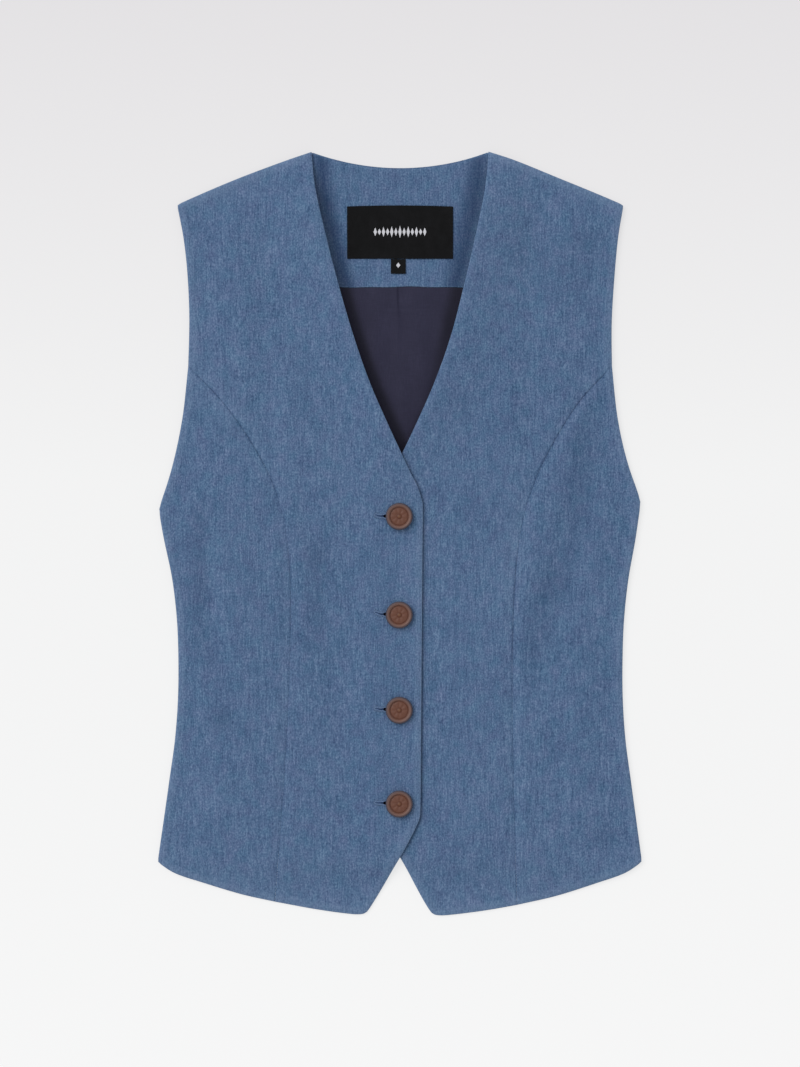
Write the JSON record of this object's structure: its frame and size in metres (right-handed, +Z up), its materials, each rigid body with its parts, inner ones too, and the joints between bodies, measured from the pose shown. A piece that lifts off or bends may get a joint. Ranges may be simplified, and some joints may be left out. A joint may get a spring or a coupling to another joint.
{
  "type": "denim vest",
  "caption": "Sleeveless buttoned denim vest with a V neck, shaped front seams and a pointed front hem, laid flat on its back.",
  "frame": {"origin": "centre of the outline, at the level of the surface that the garment lies on", "axes": "+Y towards the neck, +X towards the wearer's left side (right in the picture), +Z up from the surface, out of the garment's front"},
  "size_m": [0.3868, 0.6104, 0.0157],
  "materials": {
    "denim": "washed mid-blue denim, matte",
    "lining": "smooth dark purple-blue lining with a faint sheen",
    "label": "black woven tape with pale thread",
    "button": "moulded brown, low sheen"
  },
  "bodies": {
    "root": {"back": "denim", "back_neck_facing": "denim", "back_lining": "lining", "label": "label", "size_tab": "label", "front_right": "denim", "front_left": "denim", "side_front_right": "denim", "side_front_left": "denim", "button_1": "button", "button_2": "button", "button_3": "button", "button_4": "button"}
  },
  "joints": []
}
